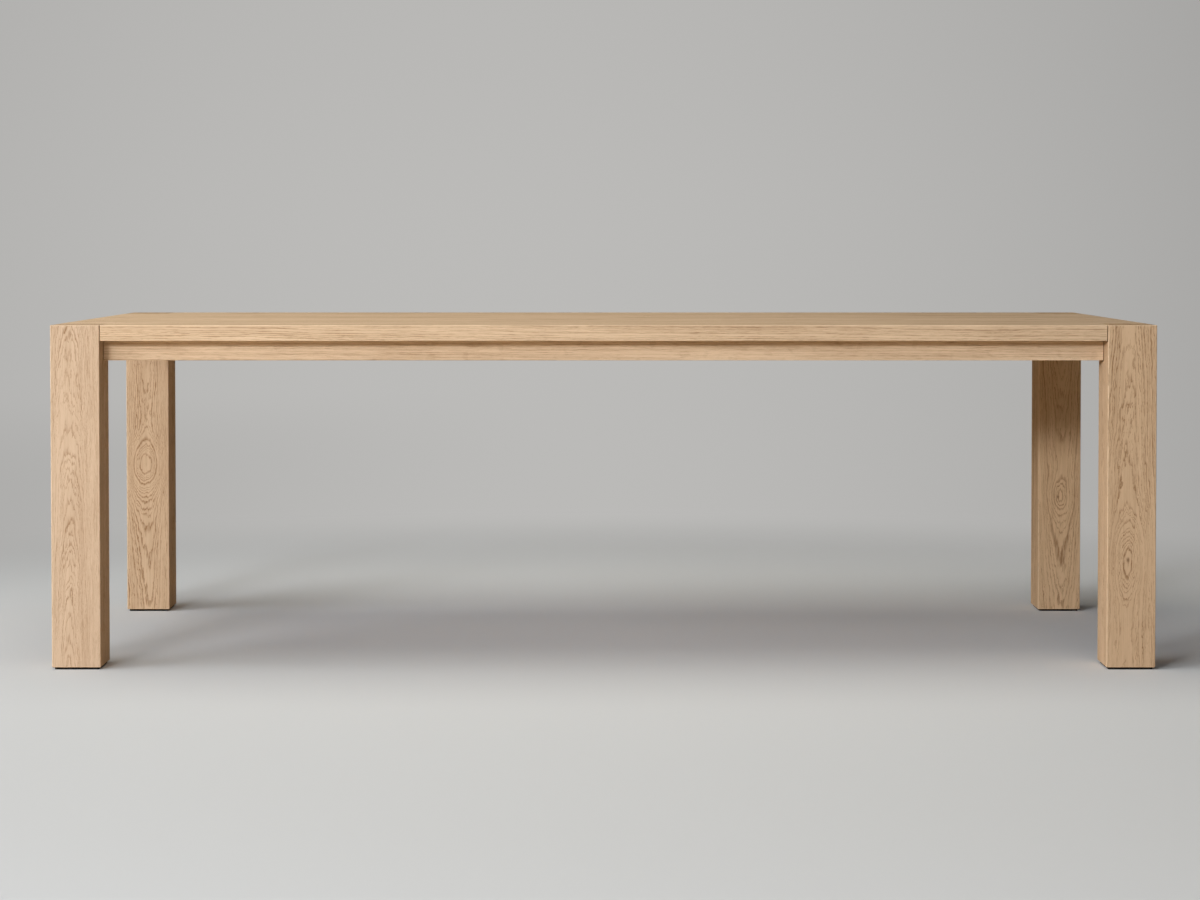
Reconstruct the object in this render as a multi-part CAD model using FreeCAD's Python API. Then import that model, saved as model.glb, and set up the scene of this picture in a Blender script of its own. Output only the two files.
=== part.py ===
import FreeCAD, Part
import math
import os

# A parsons dining table in solid oak, whose legs unbolt from the frame.
# The four square legs run to the full height, and the glued-up top is notched round them, so that
# the leg tops and the top lie flush. Low aprons stand back under the top. At each corner a bent
# steel bracket hooks into saw kerfs in two aprons, and its hanger bolt draws the leg against them.
# Lengths are in millimetres. X runs along the table, Y from its front to its back, Z upwards.
# The origin is on the floor below the middle of the top.

# Overall size
TABLE_LENGTH = 2438.0
TABLE_WIDTH = 1016.0
TABLE_HEIGHT = 762.0

# Legs: one square post each, with a flat planed on the inner corner for the bracket
LEG_SIDE = 108.0
LEG_ARRIS = 1.5
LEG_FLAT_SHARE = 0.68

# Felt pads under the legs
PAD_THICKNESS = 5.0
PAD_INSET = 5.0
PAD_CORNER = 3.0

# Top: boards of mixed width, from the front to the back, with one joint on the middle line
TOP_THICKNESS = 35.0
TOP_ARRIS = 1.5
NOTCH_GAP = 1.5
BOARD_WIDTH_SHARES = (0.165, 0.150, 0.185, 0.155, 0.180, 0.165)

# Splines: loose tongues in the joints between the boards
SPLINE_THICKNESS = 6.0
SPLINE_WIDTH = 24.0
SPLINE_STOP = 120.0
SPLINE_SLACK = 0.2

# Aprons
APRON_HEIGHT = 45.0
APRON_THICKNESS = 25.0
APRON_SETBACK = 48.0
APRON_ARRIS = 1.0

# Dowels between the apron ends and the legs
DOWEL_DIAMETER = 10.0
DOWEL_LENGTH = 40.0
DOWEL_SPACING = 22.0
DOWEL_CHAMFER = 1.0
DOWEL_SLACK = 0.15

# Cross rails, tenoned into the long aprons
RAIL_COUNT = 3
RAIL_WIDTH = 60.0
RAIL_HEIGHT = 38.0
RAIL_ARRIS = 1.0
TENON_LENGTH = 12.0
TENON_SHOULDER = 10.0
TENON_SLACK = 0.15

# Rail screws, in slotted holes that let the top move
RAIL_SCREW_LENGTH = 42.0
RAIL_SCREW_DIAMETER = 5.0
RAIL_SCREW_HEAD_DIAMETER = 10.0
RAIL_SCREW_HEAD_HEIGHT = 3.5
RAIL_SLOT_TRAVEL = 6.0
RAIL_SLOT_SLACK = 0.5
RAIL_BORE_DEPTH = 16.0
RAIL_BORE_SLACK = 2.0

# Corner brackets, bent from steel strip
BRACKET_THICKNESS = 2.5
BRACKET_MARGIN = 3.5
BRACKET_FLANGE = 40.0
BRACKET_LIP = 6.0
BRACKET_BEND = 1.0
BRACKET_GAP = 4.0
KERF_SLACK = 0.3

# Bracket screws
BRACKET_SCREW_LENGTH = 18.0
BRACKET_SCREW_DIAMETER = 4.5
BRACKET_SCREW_HEAD_DIAMETER = 9.0
BRACKET_SCREW_HEAD_HEIGHT = 3.0
BRACKET_SCREW_MARGIN = 4.5

# Hanger bolts, one through each bracket into its leg, with their washers and nuts
BOLT_DIAMETER = 10.0
BOLT_WOOD_LENGTH = 60.0
BOLT_TAIL = 7.0
BOLT_POINT = 9.0
BOLT_END_CHAMFER = 1.2
WASHER_DIAMETER = 20.0
WASHER_THICKNESS = 2.0
NUT_WIDTH = 17.0
NUT_HEIGHT = 8.0

# Clips that hold the top down to the aprons
CLIP_WIDTH = 20.0
CLIP_THICKNESS = 2.0
CLIP_TONGUE = 8.0
CLIP_STANDOFF = 5.0
CLIP_FLANGE = 22.0
CLIP_DROP = 11.0
CLIP_SLOT_SLACK = 1.0

# Clip screws
CLIP_SCREW_LENGTH = 20.0
CLIP_SCREW_DIAMETER = 4.5
CLIP_SCREW_HEAD_DIAMETER = 9.0
CLIP_SCREW_HEAD_HEIGHT = 3.0

# Fits: round steel through sheet steel, and round steel in wood or thread
STEEL_SLACK = 0.3
PILOT_SLACK = 0.1
SCREW_POINT_SHARE = 0.3
HEAD_CROWN_SHARE = 0.6

# Cuts run this far past the faces that they open
OVERRUN = 5.0

# Round fittings and their holes are drawn with flat sides: small ones with few, bolts with more
FITTING_SIDES = 8
BOLT_SIDES = 16
HEXAGON_SIDES = 6

V = FreeCAD.Vector
ORIGIN = V(0, 0, 0)
X_AXIS = V(1, 0, 0)
Y_AXIS = V(0, 1, 0)
Z_AXIS = V(0, 0, 1)
CORNERS = {"front_left": (-1, -1), "front_right": (1, -1), "back_left": (-1, 1), "back_right": (1, 1)}

# Main planes of the table
half_length = TABLE_LENGTH / 2
half_width = TABLE_WIDTH / 2
leg_inner_x = half_length - LEG_SIDE
leg_inner_y = half_width - LEG_SIDE
top_underside = TABLE_HEIGHT - TOP_THICKNESS
apron_underside = top_underside - APRON_HEIGHT
apron_middle = (top_underside + apron_underside) / 2
long_apron_inner_y = half_width - APRON_SETBACK - APRON_THICKNESS
end_apron_inner_x = half_length - APRON_SETBACK - APRON_THICKNESS
long_apron_length = 2 * leg_inner_x
end_apron_length = 2 * leg_inner_y
bracket_height = APRON_HEIGHT - 2 * BRACKET_MARGIN
bracket_screw_spacing = bracket_height - BRACKET_SCREW_HEAD_DIAMETER - 2 * BRACKET_SCREW_MARGIN
tenon_width = RAIL_WIDTH - 2 * TENON_SHOULDER
tenon_height = RAIL_HEIGHT - 2 * TENON_SHOULDER

# The corner: how far the leg stands in past the aprons, and where the bracket's web lies
corner_lap = LEG_SIDE - APRON_SETBACK - APRON_THICKNESS
leg_flat_reach = corner_lap * LEG_FLAT_SHARE
bracket_reach = corner_lap - leg_flat_reach + BRACKET_GAP * math.sqrt(2)
inward = V(-1, -1, 0).normalize()
flat_middle = V(leg_inner_x + leg_flat_reach / 2, leg_inner_y + leg_flat_reach / 2, apron_middle)


def box(low, high):
    """A block between two opposite corners."""
    size = high - low
    return Part.makeBox(size.x, size.y, size.z, low)


def prism(points, run):
    """A flat outline carried along a straight run."""
    return Part.Face(Part.makePolygon(points + points[:1])).extrude(run)


def sided(outline, sides, start, direction):
    """A piece turned from an outline of (radius, height) pairs, but with flat sides.

    The outline starts and ends on the axis, and the piece is set down at a start along a direction.
    """
    turns = [2 * math.pi * index / sides for index in range(sides + 1)]
    spokes = [V(math.cos(turn), math.sin(turn), 0) for turn in turns]
    faces = []
    for spoke, following in zip(spokes, spokes[1:]):
        for (radius, height), (next_radius, next_height) in zip(outline, outline[1:]):
            low = Z_AXIS * height
            high = Z_AXIS * next_height
            corners = [spoke * radius + low, following * radius + low,
                       following * next_radius + high, spoke * next_radius + high]
            if radius == 0:
                corners.pop(0)
            if next_radius == 0:
                corners.pop()
            faces.append(Part.Face(Part.makePolygon(corners + corners[:1])))
    piece = Part.Solid(Part.Shell(faces)).removeSplitter()
    piece.Placement = FreeCAD.Placement(start, FreeCAD.Rotation(Z_AXIS, direction))
    return piece


def bar(radius, sides, start, end):
    """A bar with flat sides, or the hole for a fitting, between two points."""
    run = end - start
    return sided([(0, 0), (radius, 0), (radius, run.Length), (0, run.Length)], sides, start, run)


def eased(shape, size, wanted):
    """The shape with a small chamfer along the wanted edges."""
    return shape.makeChamfer(size, [edge for edge in shape.Edges if wanted(edge)])


def upright(edge):
    """True for an edge that runs along Z."""
    return edge.BoundBox.ZLength > max(edge.BoundBox.XLength, edge.BoundBox.YLength)


def nearest_edge(shape, point):
    """The edge whose middle lies nearest to a point."""
    return min(shape.Edges, key=lambda edge: edge.CenterOfMass.distanceToPoint(point))


def mirrored(shape, side_x, side_y):
    """A piece modelled at the back right, mirrored to the given sides."""
    copy = shape.copy()
    if side_x < 0:
        copy = copy.mirror(ORIGIN, X_AXIS)
    if side_y < 0:
        copy = copy.mirror(ORIGIN, Y_AXIS)
    return copy


def either_side(middle, spacing):
    """Two levels, half the spacing below and above a middle one."""
    return middle - spacing / 2, middle + spacing / 2


def corner_point(along, across, height):
    """A point by its distances in from the leg's inner corner, at the back right."""
    return V(leg_inner_x - along, leg_inner_y - across, height)


def folded_strip(path, thickness, width):
    """Strip folded along a path, with its thickness on the path's left, seen against its width."""
    lefts = [width.cross(end - start).normalize() for start, end in zip(path, path[1:])]
    far_side = []
    for point, before, after in zip(path, lefts[:1] + lefts, lefts + lefts[-1:]):
        far_side.append(point + (before + after) * (thickness / (1 + before.dot(after))))
    return prism(path + far_side[::-1], width)


def bent_strip(path, thickness, width, bend):
    """A folded strip whose folds are rounded, with the bend's radius on the inside."""
    strip = folded_strip(path, thickness, width)
    for before, fold, after in zip(path, path[1:], path[2:]):
        turn = width.cross(fold - before).dot(after - fold)
        nearer, farther = (bend + thickness, bend) if turn > 0 else (bend, bend + thickness)
        strip = strip.makeFillet(nearer, [nearest_edge(strip, fold + width / 2)])
        left = width.cross(after - before).normalize() * thickness
        strip = strip.makeFillet(farther, [nearest_edge(strip, fold + left + width / 2)])
    return strip


def wood_screw(length, diameter, head_diameter, head_height, seat, direction):
    """A pan-head wood screw whose head bears at the seat and whose point lies in the direction."""
    radius = diameter / 2
    head_radius = head_diameter / 2
    crown = HEAD_CROWN_SHARE
    outline = [(0, -head_height), (head_radius * crown, -head_height), (head_radius, -head_height * crown),
               (head_radius, 0), (radius, 0), (radius, length * (1 - SCREW_POINT_SHARE)), (0, length)]
    return sided(outline, FITTING_SIDES, seat, direction)


def slotted(radius, travel, start, end):
    """A hole that is longer across the table than along it."""
    reach = V(0, travel / 2, 0)
    middle = box(start - reach - V(radius, 0, 0), end + reach + V(radius, 0, 0))
    ends = [bar(radius, FITTING_SIDES, start + shift, end + shift) for shift in (reach, -reach)]
    return middle.fuse(ends)


# Places that two or more pieces share

def board_edges():
    """Y of each board's edges, from the front of the top to its back."""
    edges = [-half_width]
    for share in BOARD_WIDTH_SHARES:
        edges.append(edges[-1] + share * TABLE_WIDTH)
    return edges


def board_middles():
    """Y of the middle of each board."""
    edges = board_edges()
    return [(near + far) / 2 for near, far in zip(edges, edges[1:])]


def rail_places():
    """X of each cross rail, evenly spaced along the long aprons."""
    bay = long_apron_length / (RAIL_COUNT + 1)
    return [bay * (index + 1) - long_apron_length / 2 for index in range(RAIL_COUNT)]


def long_clip_places():
    """X of the clips on a long apron, one in the middle of each bay between rails and legs."""
    bay = long_apron_length / (RAIL_COUNT + 1)
    return [bay * (index + 1 / 2) - long_apron_length / 2 for index in range(RAIL_COUNT + 1)]


def end_clip_places():
    """Place of the clips on an end apron, under the middles of the boards next to the outer ones."""
    middles = board_middles()
    return [-middles[1], -middles[-2]]


# Aprons and what is fixed to them, modelled with the inner face at y = 0 and the outer one behind it

def on_long_side(shape, side):
    """Moves a piece from the apron's own frame to the back (1) or the front (-1)."""
    return mirrored(shape.translated(V(0, long_apron_inner_y, 0)), 1, side)


def on_end(shape, side):
    """Moves a piece from the apron's own frame to the right end (1) or the left one (-1)."""
    turned_shape = shape.rotated(ORIGIN, Z_AXIS, -90)
    return mirrored(turned_shape.translated(V(end_apron_inner_x, 0, 0)), side, 1)


def dowel_lines(length):
    """Start and end of each dowel in an apron's two ends."""
    lines = []
    for side in (-1, 1):
        for level in either_side(apron_middle, DOWEL_SPACING):
            middle = V(side * length / 2, APRON_THICKNESS / 2, level)
            reach = V(side * DOWEL_LENGTH / 2, 0, 0)
            lines.append((middle - reach, middle + reach))
    return lines


def dowels(length):
    """Dowels with chamfered ends."""
    radius = DOWEL_DIAMETER / 2
    neck = radius - DOWEL_CHAMFER
    outline = [(0, 0), (neck, 0), (radius, DOWEL_CHAMFER), (radius, DOWEL_LENGTH - DOWEL_CHAMFER),
               (neck, DOWEL_LENGTH), (0, DOWEL_LENGTH)]
    return [sided(outline, FITTING_SIDES, start, end - start) for start, end in dowel_lines(length)]


def dowel_holes(length):
    """Holes for the dowels, drilled into apron and leg alike."""
    holes = []
    for start, end in dowel_lines(length):
        spare = (end - start).normalize() * DOWEL_SLACK
        holes.append(bar(DOWEL_DIAMETER / 2 + DOWEL_SLACK, FITTING_SIDES, start - spare, end + spare))
    return holes


def bracket_screw_seats(length):
    """Where the bracket's screws start on an apron's inner face, at both ends."""
    seats = []
    for side in (-1, 1):
        for level in either_side(apron_middle, bracket_screw_spacing):
            seats.append(V(side * (length / 2 - bracket_reach - BRACKET_FLANGE / 2), 0, level))
    return seats


def bracket_screws(length):
    """Screws through the bracket's flanges into an apron."""
    seats = [seat - Y_AXIS * BRACKET_THICKNESS for seat in bracket_screw_seats(length)]
    return [wood_screw(BRACKET_SCREW_LENGTH, BRACKET_SCREW_DIAMETER, BRACKET_SCREW_HEAD_DIAMETER,
                       BRACKET_SCREW_HEAD_HEIGHT, seat, Y_AXIS) for seat in seats]


def bracket_kerfs(length):
    """Saw kerfs across an apron's inner face, for the bracket's lips and their bends."""
    kerfs = []
    for side in (-1, 1):
        mouth = length / 2 - bracket_reach - BRACKET_FLANGE
        near = side * (mouth + BRACKET_BEND + KERF_SLACK)
        far = side * (mouth - BRACKET_THICKNESS - KERF_SLACK)
        low = V(min(near, far), -OVERRUN, apron_underside - OVERRUN)
        kerfs.append(box(low, V(max(near, far), BRACKET_LIP + KERF_SLACK, top_underside + OVERRUN)))
    return kerfs


def clip(place):
    """A clip bent twice: a tongue in the apron's slot and a flange under the top."""
    left = place - CLIP_WIDTH / 2
    tongue_level = top_underside - CLIP_DROP
    path = [V(left, CLIP_TONGUE, tongue_level), V(left, -CLIP_STANDOFF, tongue_level),
            V(left, -CLIP_STANDOFF, top_underside), V(left, -CLIP_STANDOFF - CLIP_FLANGE, top_underside)]
    seat = clip_screw_seat(place)
    drill = CLIP_SCREW_DIAMETER / 2 + STEEL_SLACK
    hole = bar(drill, FITTING_SIDES, seat - Z_AXIS * OVERRUN, seat + Z_AXIS * OVERRUN)
    return folded_strip(path, CLIP_THICKNESS, X_AXIS * CLIP_WIDTH).cut(hole)


def clip_slot(place):
    """The slot in the apron for a clip's tongue, which bears on the slot's upper face."""
    half = CLIP_WIDTH / 2 + CLIP_SLOT_SLACK
    roof = top_underside - CLIP_DROP
    floor = roof - CLIP_THICKNESS - CLIP_SLOT_SLACK
    return box(V(place - half, -OVERRUN, floor), V(place + half, CLIP_TONGUE + CLIP_SLOT_SLACK, roof))


def clip_screw_seat(place):
    """Where a clip's screw head bears, under the clip's flange."""
    middle = -CLIP_STANDOFF - (CLIP_FLANGE + CLIP_THICKNESS) / 2
    return V(place, middle, top_underside - CLIP_THICKNESS)


def clip_screw(place):
    """The screw from a clip up into the top."""
    return wood_screw(CLIP_SCREW_LENGTH, CLIP_SCREW_DIAMETER, CLIP_SCREW_HEAD_DIAMETER,
                      CLIP_SCREW_HEAD_HEIGHT, clip_screw_seat(place), Z_AXIS)


def clip_screw_hole(place):
    """The pilot hole in the top for a clip's screw."""
    seat = clip_screw_seat(place)
    depth = Z_AXIS * (CLIP_SCREW_LENGTH + PILOT_SLACK)
    return bar(CLIP_SCREW_DIAMETER / 2 + PILOT_SLACK, FITTING_SIDES, seat, seat + depth)


def mortise(place):
    """The pocket in a long apron for a rail's tenon."""
    half = tenon_width / 2 + TENON_SLACK
    rise = tenon_height / 2 + TENON_SLACK
    depth = TENON_LENGTH + TENON_SLACK
    middle = top_underside - RAIL_HEIGHT / 2
    return box(V(place - half, -OVERRUN, middle - rise), V(place + half, depth, middle + rise))


def apron(length, clip_places, mortise_places):
    """An apron with its lower arrises and outer end arrises eased, and all its holes and slots."""
    half = length / 2
    board = box(V(-half, 0, apron_underside), V(half, APRON_THICKNESS, top_underside))

    def in_reach(edge):
        middle = edge.CenterOfMass
        end_arris = upright(edge) and middle.y > APRON_THICKNESS / 2
        return end_arris or (edge.Length > half and middle.z < apron_middle)

    board = eased(board, APRON_ARRIS, in_reach)
    drill = BRACKET_SCREW_DIAMETER / 2 + PILOT_SLACK
    depth = Y_AXIS * (BRACKET_SCREW_LENGTH - BRACKET_THICKNESS + PILOT_SLACK)
    cuts = dowel_holes(length) + bracket_kerfs(length)
    cuts += [bar(drill, FITTING_SIDES, seat, seat + depth) for seat in bracket_screw_seats(length)]
    cuts += [clip_slot(place) for place in clip_places]
    cuts += [mortise(place) for place in mortise_places]
    return board.cut(cuts)


# Corner pieces, modelled at the back right

def leg():
    """A square post with eased edges, its bracket flat and the holes for bolt and dowels."""
    post = box(V(leg_inner_x, leg_inner_y, PAD_THICKNESS), V(half_length, half_width, TABLE_HEIGHT))
    post = post.makeChamfer(LEG_ARRIS, post.Edges)
    reach = leg_flat_reach
    flat = prism([corner_point(-reach - OVERRUN, OVERRUN, apron_underside),
                  corner_point(OVERRUN, -reach - OVERRUN, apron_underside),
                  corner_point(OVERRUN, OVERRUN, apron_underside)], Z_AXIS * APRON_HEIGHT)
    drill = BOLT_DIAMETER / 2 + PILOT_SLACK
    depth = inward * (BOLT_WOOD_LENGTH + PILOT_SLACK)
    cuts = [flat, bar(drill, BOLT_SIDES, flat_middle - depth, flat_middle + inward * OVERRUN)]
    cuts += [on_long_side(hole, 1) for hole in dowel_holes(long_apron_length)]
    cuts += [on_end(hole, 1) for hole in dowel_holes(end_apron_length)]
    return post.cut(cuts)


def foot_pad():
    """A square felt pad, smaller than the leg all round."""
    low = V(leg_inner_x + PAD_INSET, leg_inner_y + PAD_INSET, 0)
    pad = box(low, V(half_length - PAD_INSET, half_width - PAD_INSET, PAD_THICKNESS))
    return eased(pad, PAD_CORNER, upright)


def bracket():
    """A strip bent across the corner, screwed to both aprons and hooked into their kerfs."""
    floor = apron_middle - bracket_height / 2
    far = bracket_reach + BRACKET_FLANGE
    lap = -corner_lap
    path = [corner_point(lap - BRACKET_LIP, far, floor), corner_point(lap, far, floor),
            corner_point(lap, bracket_reach, floor), corner_point(bracket_reach, lap, floor),
            corner_point(far, lap, floor), corner_point(far, lap - BRACKET_LIP, floor)]
    strip = bent_strip(path, BRACKET_THICKNESS, Z_AXIS * bracket_height, BRACKET_BEND)
    bolt_way = inward * (BRACKET_GAP + BRACKET_THICKNESS + OVERRUN)
    cuts = [bar(BOLT_DIAMETER / 2 + STEEL_SLACK, BOLT_SIDES, flat_middle, flat_middle + bolt_way)]
    drill = BRACKET_SCREW_DIAMETER / 2 + STEEL_SLACK
    way = Y_AXIS * (BRACKET_THICKNESS + OVERRUN)
    for seat in bracket_screw_seats(long_apron_length):
        cuts.append(on_long_side(bar(drill, FITTING_SIDES, seat - way, seat), 1))
    for seat in bracket_screw_seats(end_apron_length):
        cuts.append(on_end(bar(drill, FITTING_SIDES, seat - way, seat), 1))
    return strip.cut(cuts)


def hanger_bolt():
    """A bolt with a wood thread in the leg and a machine thread through the bracket."""
    radius = BOLT_DIAMETER / 2
    length = BOLT_WOOD_LENGTH + BRACKET_GAP + BRACKET_THICKNESS + WASHER_THICKNESS + NUT_HEIGHT + BOLT_TAIL
    outline = [(0, 0), (radius, BOLT_POINT), (radius, length - BOLT_END_CHAMFER),
               (radius - BOLT_END_CHAMFER, length), (0, length)]
    return sided(outline, BOLT_SIDES, flat_middle - inward * BOLT_WOOD_LENGTH, inward)


def ring(outer_radius, outer_sides, bore_radius, seat, thickness):
    """A flat ring on the hanger bolt, from a seat towards the middle of the table."""
    far = seat + inward * thickness
    bore = bar(bore_radius, BOLT_SIDES, seat - inward * OVERRUN, far + inward * OVERRUN)
    return bar(outer_radius, outer_sides, seat, far).cut(bore)


def washer():
    """A flat washer on the bracket's inner face."""
    seat = flat_middle + inward * (BRACKET_GAP + BRACKET_THICKNESS)
    return ring(WASHER_DIAMETER / 2, BOLT_SIDES, BOLT_DIAMETER / 2 + STEEL_SLACK, seat, WASHER_THICKNESS)


def nut():
    """A hexagon nut on the washer."""
    seat = flat_middle + inward * (BRACKET_GAP + BRACKET_THICKNESS + WASHER_THICKNESS)
    corner_radius = NUT_WIDTH / 2 / math.cos(math.pi / HEXAGON_SIDES)
    return ring(corner_radius, HEXAGON_SIDES, BOLT_DIAMETER / 2 + PILOT_SLACK, seat, NUT_HEIGHT)


# Cross rails and the top

def rail_screw_places():
    """Y of the screws along a rail, one under the middle of each board between the outer ones."""
    return board_middles()[1:-1]


def rail_screw_seat(rail_x, place):
    """Where a rail screw's head bears, at the end of its bore."""
    return V(rail_x, place, top_underside - RAIL_HEIGHT + RAIL_BORE_DEPTH)


def rail_screw_seats():
    """The seats of all the rail screws."""
    return [rail_screw_seat(rail_x, place) for rail_x in rail_places() for place in rail_screw_places()]


def rail(rail_x):
    """A cross rail with stub tenons, and slotted, counterbored holes for its screws."""
    underside = top_underside - RAIL_HEIGHT
    middle = top_underside - RAIL_HEIGHT / 2
    half = RAIL_WIDTH / 2
    reach = long_apron_inner_y
    bar = box(V(rail_x - half, -reach, underside), V(rail_x + half, reach, top_underside))
    bar = eased(bar, RAIL_ARRIS, lambda edge: edge.Length > reach and edge.CenterOfMass.z < middle)
    tenon_end = reach + TENON_LENGTH
    tenon = box(V(rail_x - tenon_width / 2, -tenon_end, middle - tenon_height / 2),
                V(rail_x + tenon_width / 2, tenon_end, middle + tenon_height / 2))
    cuts = []
    for place in rail_screw_places():
        seat = rail_screw_seat(rail_x, place)
        bore = RAIL_SCREW_HEAD_DIAMETER / 2 + RAIL_BORE_SLACK
        cuts.append(slotted(bore, RAIL_SLOT_TRAVEL, seat - Z_AXIS * (RAIL_BORE_DEPTH + OVERRUN), seat))
        way = RAIL_SCREW_DIAMETER / 2 + RAIL_SLOT_SLACK
        cuts.append(slotted(way, RAIL_SLOT_TRAVEL, seat, seat + Z_AXIS * (RAIL_HEIGHT + OVERRUN)))
    return bar.fuse(tenon).cut(cuts).removeSplitter()


def rail_screws():
    """Screws up through the rails into the top."""
    return [wood_screw(RAIL_SCREW_LENGTH, RAIL_SCREW_DIAMETER, RAIL_SCREW_HEAD_DIAMETER,
                       RAIL_SCREW_HEAD_HEIGHT, seat, Z_AXIS) for seat in rail_screw_seats()]


def rail_screw_holes():
    """Pilot holes in the top for the rail screws."""
    depth = Z_AXIS * (RAIL_SCREW_LENGTH + PILOT_SLACK)
    drill = RAIL_SCREW_DIAMETER / 2 + PILOT_SLACK
    return [bar(drill, FITTING_SIDES, seat, seat + depth) for seat in rail_screw_seats()]


def splines(slack):
    """A loose tongue for each joint between boards, or with slack the groove that it fits."""
    half = SPLINE_WIDTH / 2 + slack
    rise = SPLINE_THICKNESS / 2 + slack
    reach = half_length - SPLINE_STOP + slack
    middle = top_underside + TOP_THICKNESS / 2
    return [box(V(-reach, joint - half, middle - rise), V(reach, joint + half, middle + rise))
            for joint in board_edges()[1:-1]]


def top_slab():
    """The whole top: a slab notched round the legs, with all its outer arrises eased."""
    slab = box(V(-half_length, -half_width, top_underside), V(half_length, half_width, TABLE_HEIGHT))
    notch = box(V(leg_inner_x - NOTCH_GAP, leg_inner_y - NOTCH_GAP, top_underside - OVERRUN),
                V(half_length + OVERRUN, half_width + OVERRUN, TABLE_HEIGHT + OVERRUN))
    slab = slab.cut([mirrored(notch, side_x, side_y) for side_x, side_y in CORNERS.values()])

    def inner_corner(edge):
        middle = edge.CenterOfMass
        return upright(edge) and abs(middle.x) < leg_inner_x and abs(middle.y) < leg_inner_y

    return eased(slab, TOP_ARRIS, lambda edge: not inner_corner(edge))


def top_boards():
    """The slab sawn into its boards, grooved for the splines and drilled for the screws."""
    slab = top_slab()
    cuts = splines(SPLINE_SLACK) + rail_screw_holes()
    for place in long_clip_places():
        cuts += [on_long_side(clip_screw_hole(place), side) for side in (-1, 1)]
    for place in end_clip_places():
        cuts += [on_end(clip_screw_hole(place), side) for side in (-1, 1)]
    slab = slab.cut(cuts)
    boards = []
    edges = board_edges()
    for near, far in zip(edges, edges[1:]):
        strip = box(V(-half_length - OVERRUN, near, top_underside - OVERRUN),
                    V(half_length + OVERRUN, far, TABLE_HEIGHT + OVERRUN))
        boards.append(slab.common(strip))
    return boards


# The table, piece by piece

pieces = {}
for number, board in enumerate(top_boards(), start=1):
    pieces[f"top_board_{number}"] = [board]
pieces["top_splines"] = splines(0)

corner_post = leg()
corner_pad = foot_pad()
corner_bracket = bracket()
for corner, sides in CORNERS.items():
    pieces[f"leg_{corner}"] = [mirrored(corner_post, *sides)]
    pieces[f"foot_pad_{corner}"] = [mirrored(corner_pad, *sides)]
    pieces[f"corner_bracket_{corner}"] = [mirrored(corner_bracket, *sides)]
for name, piece in (("hanger_bolts", hanger_bolt()), ("washers", washer()), ("nuts", nut())):
    pieces[name] = [mirrored(piece, *sides) for sides in CORNERS.values()]

long_apron = apron(long_apron_length, long_clip_places(), rail_places())
end_apron = apron(end_apron_length, end_clip_places(), [])
pieces["apron_front"] = [on_long_side(long_apron, -1)]
pieces["apron_back"] = [on_long_side(long_apron, 1)]
pieces["apron_left"] = [on_end(end_apron, -1)]
pieces["apron_right"] = [on_end(end_apron, 1)]

long_fittings = {
    "apron_dowels": dowels(long_apron_length),
    "bracket_screws": bracket_screws(long_apron_length),
    "top_clips": [clip(place) for place in long_clip_places()],
    "clip_screws": [clip_screw(place) for place in long_clip_places()],
}
end_fittings = {
    "apron_dowels": dowels(end_apron_length),
    "bracket_screws": bracket_screws(end_apron_length),
    "top_clips": [clip(place) for place in end_clip_places()],
    "clip_screws": [clip_screw(place) for place in end_clip_places()],
}
for name in long_fittings:
    pieces[name] = [on_long_side(piece, side) for side in (-1, 1) for piece in long_fittings[name]]
    pieces[name] += [on_end(piece, side) for side in (-1, 1) for piece in end_fittings[name]]

for number, rail_x in enumerate(rail_places(), start=1):
    pieces[f"cross_rail_{number}"] = [rail(rail_x)]
pieces["rail_screws"] = rail_screws()

os.makedirs("parts", exist_ok=True)
for name, solids in pieces.items():
    whole = solids[0] if len(solids) == 1 else Part.makeCompound(solids)
    whole.exportStep(f"parts/{name}.step")
    print(name, len(whole.Solids), whole.isValid(), round(whole.Volume))
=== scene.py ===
import bpy
import math
from mathutils import Matrix, Vector


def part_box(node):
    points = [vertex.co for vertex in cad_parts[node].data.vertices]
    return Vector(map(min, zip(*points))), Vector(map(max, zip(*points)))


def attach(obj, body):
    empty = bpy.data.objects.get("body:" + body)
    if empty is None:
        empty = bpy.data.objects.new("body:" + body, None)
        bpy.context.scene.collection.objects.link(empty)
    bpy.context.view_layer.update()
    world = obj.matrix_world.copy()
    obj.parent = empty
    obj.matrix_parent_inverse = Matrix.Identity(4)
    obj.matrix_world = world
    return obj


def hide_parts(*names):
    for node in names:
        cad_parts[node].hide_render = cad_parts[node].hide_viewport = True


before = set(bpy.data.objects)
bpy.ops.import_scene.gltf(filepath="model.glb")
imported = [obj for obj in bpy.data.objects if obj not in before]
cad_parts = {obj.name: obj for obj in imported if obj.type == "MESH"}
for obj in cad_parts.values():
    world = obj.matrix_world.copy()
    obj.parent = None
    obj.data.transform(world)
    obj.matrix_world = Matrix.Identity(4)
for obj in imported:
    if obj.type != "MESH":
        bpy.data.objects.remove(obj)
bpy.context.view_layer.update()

scene = bpy.context.scene
scene.view_settings.view_transform = "Standard"


# Legs: four square posts of solid white oak, planed, sanded and given a matt oil.
# They are sawn so that the flat grain shows at the front and the back, and straight grain at the sides.
# Every arris is rounded over, and a flat is cut on the inner corner for the bracket and its bolt.

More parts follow.
